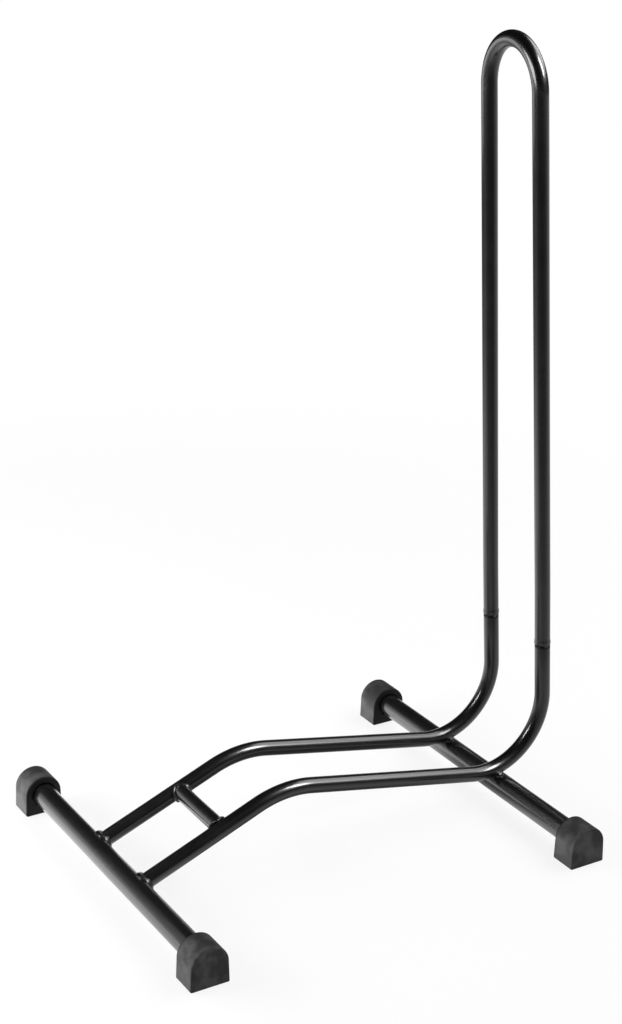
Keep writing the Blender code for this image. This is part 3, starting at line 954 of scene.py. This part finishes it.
class STAND_OT_brace_welds(WeldOperator, Operator):
    """Lay the beads round the ends of the brace"""

    bl_idname = "bike_stand.brace_welds"
    bl_label = "Brace Welds"

    def execute(self, context):
        middle = brace_point(context.scene.stand_tubes)
        self.add_ring_beads(context, "brace", middle, context.scene.stand_welds.brace_radius)
        return {"FINISHED"}

    def station(self, tubes, welds, beside, turn):
        ramp = slope(tubes.ramp_angle)
        over = slope(tubes.ramp_angle + pi / 2)
        reach = tubes.rail_diameter / 2 + welds.stand_off / 2
        outward = sin(turn) * ramp + cos(turn) * over
        off_ramp = reach * cos(turn)
        across = sqrt((tubes.rail_diameter / 2 + welds.brace_reach) ** 2 - off_ramp ** 2)
        inward = copysign(across, -beside.x) * ACROSS
        off_rail = (inward + off_ramp * over).normalized()
        return beside + reach * outward + inward, (outward + off_rail).normalized()


class STAND_OT_rear_welds(WeldOperator, Operator):
    """Lay the fillet beads beside the rails on the rear tube"""

    bl_idname = "bike_stand.rear_welds"
    bl_label = "Rear Welds"

    def execute(self, context):
        tubes = context.scene.stand_tubes
        welds = context.scene.stand_welds
        count = welds.rear_puddles * POINTS_PER_PUDDLE
        for side, sign in SIDES.items():
            beside = REAR_AXIS + sign * tubes.rail_spacing / 2 * ACROSS
            for edge, outward in (("inner", -sign), ("outer", sign)):
                turns = [(2 * i / count - 1) * welds.rear_sweep for i in range(count + 1)]
                spine = [self.station(tubes, welds, beside, outward, turn) for turn in turns]
                self.add_bead(context, "rear", side + "_" + edge, spine, welds.rear_radius,
                              welds.rear_puddles, False)
        return {"FINISHED"}

    def station(self, tubes, welds, beside, outward, turn):
        off_tube = slope(pi / 2 + tubes.seat_angle + turn)
        on_tube = (tubes.cross_diameter / 2 + welds.stand_off) * off_tube
        centre = rear_bend_centre(tubes) - REAR_AXIS
        below = hypot(on_tube.y - centre.y, on_tube.z - centre.z) - tubes.rear_radius
        across = sqrt((tubes.rail_diameter / 2 + welds.stand_off) ** 2 - below ** 2)
        facing = (outward * ACROSS + REAR_BEAD_RISE * off_tube).normalized()
        return beside + outward * across * ACROSS + on_tube, facing


class STAND_OT_studio(Operator):
    """Set up the pale floor, the soft lamps and the camera"""

    bl_idname = "bike_stand.studio"
    bl_label = "Studio"

    def execute(self, context):
        studio = context.scene.stand_studio
        context.scene.view_settings.view_transform = "Standard"
        self.add_camera(context, studio)
        self.add_floor(studio)
        self.add_room(studio)
        self.add_mirrored_paper(studio)
        self.light_world(context, studio)
        for name, (brightness, *setting) in LAMPS.items():
            add_lamp(name, getattr(studio, brightness), *setting)
        return {"FINISHED"}

    def add_camera(self, context, studio):
        data = bpy.data.cameras.new("photo_camera")
        data.sensor_width = SENSOR_WIDTH
        data.lens = FOCAL_PIXELS * SENSOR_WIDTH / IMAGE_HEIGHT
        data.shift_x = (IMAGE_WIDTH / 2 - CENTRE_PIXEL[0]) / IMAGE_HEIGHT
        data.shift_y = (CENTRE_PIXEL[1] - IMAGE_HEIGHT / 2) / IMAGE_HEIGHT
        data.clip_start = 0.05
        data.clip_end = 200.0
        camera = bpy.data.objects.new("photo_camera", data)
        back = towards(studio.azimuth - pi / 2, studio.elevation)
        right = (-back).cross(UP).normalized()
        turned = Matrix((right, back.cross(right), back)).transposed()
        camera.matrix_world = (Matrix.Translation(studio.camera_place) @ turned.to_4x4()
                               @ Matrix.Rotation(studio.roll, 4, "Z"))
        context.scene.collection.objects.link(camera)
        context.scene.camera = camera

    def add_floor(self, studio):
        """White paper. Only near the stand does a share of it take the stand's shadow."""
        shader = Shader(bpy.data.materials.new("floor_paper"))
        plain = studio.white + (1 - studio.white) * shader.length_of(shader.place()).ramp(*SHADOW_REACH)
        paper = shader.node("ShaderNodeBsdfDiffuse", {}, {"Color": solid(FLOOR_TONE)})
        glow = shader.light("ShaderNodeEmission", 1.0)
        material = shader.end(shader.blend_shaders(plain * seen_directly(shader), paper, glow))
        self.add_stage(self.disc("floor", FLOOR_RADIUS, FLOOR_FACES), material)

    def add_room(self, studio):
        """Dark room round the white paper, paler beside the ramp. Only the paint's gloss mirrors it."""
        shader = Shader(bpy.data.materials.new("dark_room"))
        off_glow = shader.distance(shader.place(), GLOW_MIDDLE)
        bright = studio.room + studio.side_glow * (1.0 - off_glow.ramp(*GLOW_FADE))
        material = shader.end(shader.glow(bright, studio.room + studio.side_glow))
        turns = [WALL_FROM + pi / 2 * i / WALL_STEPS for i in range(WALL_STEPS)]
        rings = [ring(ROOM_RADIUS * sin(turn) * UP, UP, ROOM_RADIUS * cos(turn), ACROSS) for turn in turns]
        walls = mesh_from_rings("dark_walls", rings, False, first_cap=False)
        self.add_stage(walls, material, GLOSS_STAGE)

    def add_mirrored_paper(self, studio):
        """The lit paper that the paint mirrors, with painted shade to the left and near the camera, and the
        stand's painted shadow under it.
        """
        shader = Shader(bpy.data.materials.new("mirrored_paper"))
        place = shader.place()
        ahead = shader.along(place, towards(studio.azimuth - pi / 2, 0.0))
        left = shader.along(place, LEFTWARDS)
        off_painted_shadow = shader.length_of(shader.stretched(place, PAINTED_SHADOW_SCALE))
        off_pool = shader.distance(place, LIGHT_POOL_MIDDLE)
        # Painted shade towards the camera and to the left
        bright = studio.paper * (1.0 - ahead.ramp(*PAINTED_SHADE_AHEAD) - ahead.ramp(*PAINTED_SHADE_NEAR))
        bright = bright * (1.0 - left.ramp(*PAINTED_SHADE_LEFT))
        # Painted pool of light on the paper beside the ramp
        bright = bright + studio.side_paper * (1.0 - off_pool.ramp(*LIGHT_POOL_FADE))
        # Painted shadow of the stand on the paper under it
        bright = bright * (1.0 - off_painted_shadow.ramp(*PAINTED_SHADOW_UNDER))
        material = shader.end(shader.glow(bright, studio.paper + studio.side_paper))
        self.add_stage(self.disc("mirrored_paper", ROOM_RADIUS, PAPER_FACES), material, GLOSS_STAGE)

    def disc(self, name, radius, faces):
        """Flat disc with its two faces at these heights."""
        return mesh_from_rings(name, [ring(height * UP, UP, radius, ACROSS) for height in faces], False)

    def add_stage(self, mesh, material, hidden_from=()):
        """Links an object of the studio, which isn't part of the stand."""
        mesh.materials.append(material)
        item = bpy.data.objects.new(mesh.name, mesh)
        bpy.context.scene.collection.objects.link(item)
        hide(item, hidden_from)

    def light_world(self, context, studio):
        shader = Shader(bpy.data.worlds.new("studio_world"))
        dim = shader.light("ShaderNodeBackground", studio.ambient)
        white = shader.light("ShaderNodeBackground", 1.0)
        mixed = shader.blend_shaders(seen_directly(shader), dim, white)
        context.scene.world = shader.end(mixed, "ShaderNodeOutputWorld")


def hide(item, kinds):
    """Keeps these kinds of ray from meeting the object."""
    for kind in kinds:
        setattr(item, "visible_" + kind, False)


def seen_directly(shader):
    """1 for what is seen straight, mirrored or through glass, and 0 for what lights the stand."""
    camera = shader.node("ShaderNodeLightPath", {}, {}, "Is Camera Ray")
    glossy = shader.node("ShaderNodeLightPath", {}, {}, "Is Glossy Ray")
    through = shader.node("ShaderNodeLightPath", {}, {}, "Is Transmission Ray")
    return camera.larger(glossy).larger(through)


def add_lamp(name, radiance, place, aim, size, hidden_from):
    """Soft rectangular lamp. radiance is how bright its face looks, 1 being white."""
    data = bpy.data.lights.new(name, "AREA")
    data.shape = "RECTANGLE"
    data.size, data.size_y = size
    data.energy = radiance * pi * size[0] * size[1]
    lamp = bpy.data.objects.new(name, data)
    turn = (Vector(place) - Vector(aim)).to_track_quat("Z", "Y")
    lamp.matrix_world = Matrix.Translation(place) @ turn.to_matrix().to_4x4()
    hide(lamp, hidden_from)
    bpy.context.scene.collection.objects.link(lamp)


class STAND_PT_panel(Panel):
    """Sizes, looks and operators of the bike stand"""

    bl_idname = "STAND_PT_panel"
    bl_label = "Floor Bike Stand"
    bl_space_type = "VIEW_3D"
    bl_region_type = "UI"
    bl_category = "Bike Stand"

    def draw(self, context):
        for name, group in SETTINGS.items():
            box = self.layout.box()
            box.label(text=group.__doc__)
            for key in group.__annotations__:
                box.prop(getattr(context.scene, name), key)
        for operator in OPERATORS:
            self.layout.operator(operator.bl_idname)


SETTINGS = {
    "stand_tubes": TubeSizes,
    "stand_plug": PlugSizes,
    "stand_foot": FootSizes,
    "stand_welds": WeldSizes,
    "stand_paint": PaintLook,
    "stand_rubber": RubberLook,
    "stand_studio": StudioLook,
}

OPERATORS = (
    STAND_OT_rails,
    STAND_OT_hoop,
    STAND_OT_cross_tubes,
    STAND_OT_brace,
    STAND_OT_feet,
    STAND_OT_front_welds,
    STAND_OT_brace_welds,
    STAND_OT_rear_welds,
    STAND_OT_studio,
)


def register():
    for name, group in SETTINGS.items():
        bpy.utils.register_class(group)
        setattr(bpy.types.Scene, name, PointerProperty(type=group))
    for operator in OPERATORS:
        bpy.utils.register_class(operator)
    bpy.utils.register_class(STAND_PT_panel)


def unregister():
    bpy.utils.unregister_class(STAND_PT_panel)
    for operator in reversed(OPERATORS):
        bpy.utils.unregister_class(operator)
    for name, group in reversed(SETTINGS.items()):
        delattr(bpy.types.Scene, name)
        bpy.utils.unregister_class(group)


def main():
    register()
    bpy.ops.bike_stand.studio()
    bpy.ops.bike_stand.rails()
    bpy.ops.bike_stand.hoop()
    bpy.ops.bike_stand.cross_tubes()
    bpy.ops.bike_stand.brace()
    bpy.ops.bike_stand.feet()
    bpy.ops.bike_stand.front_welds()
    bpy.ops.bike_stand.brace_welds()
    bpy.ops.bike_stand.rear_welds()
    bpy.context.view_layer.update()


if __name__ == "__main__":
    main()
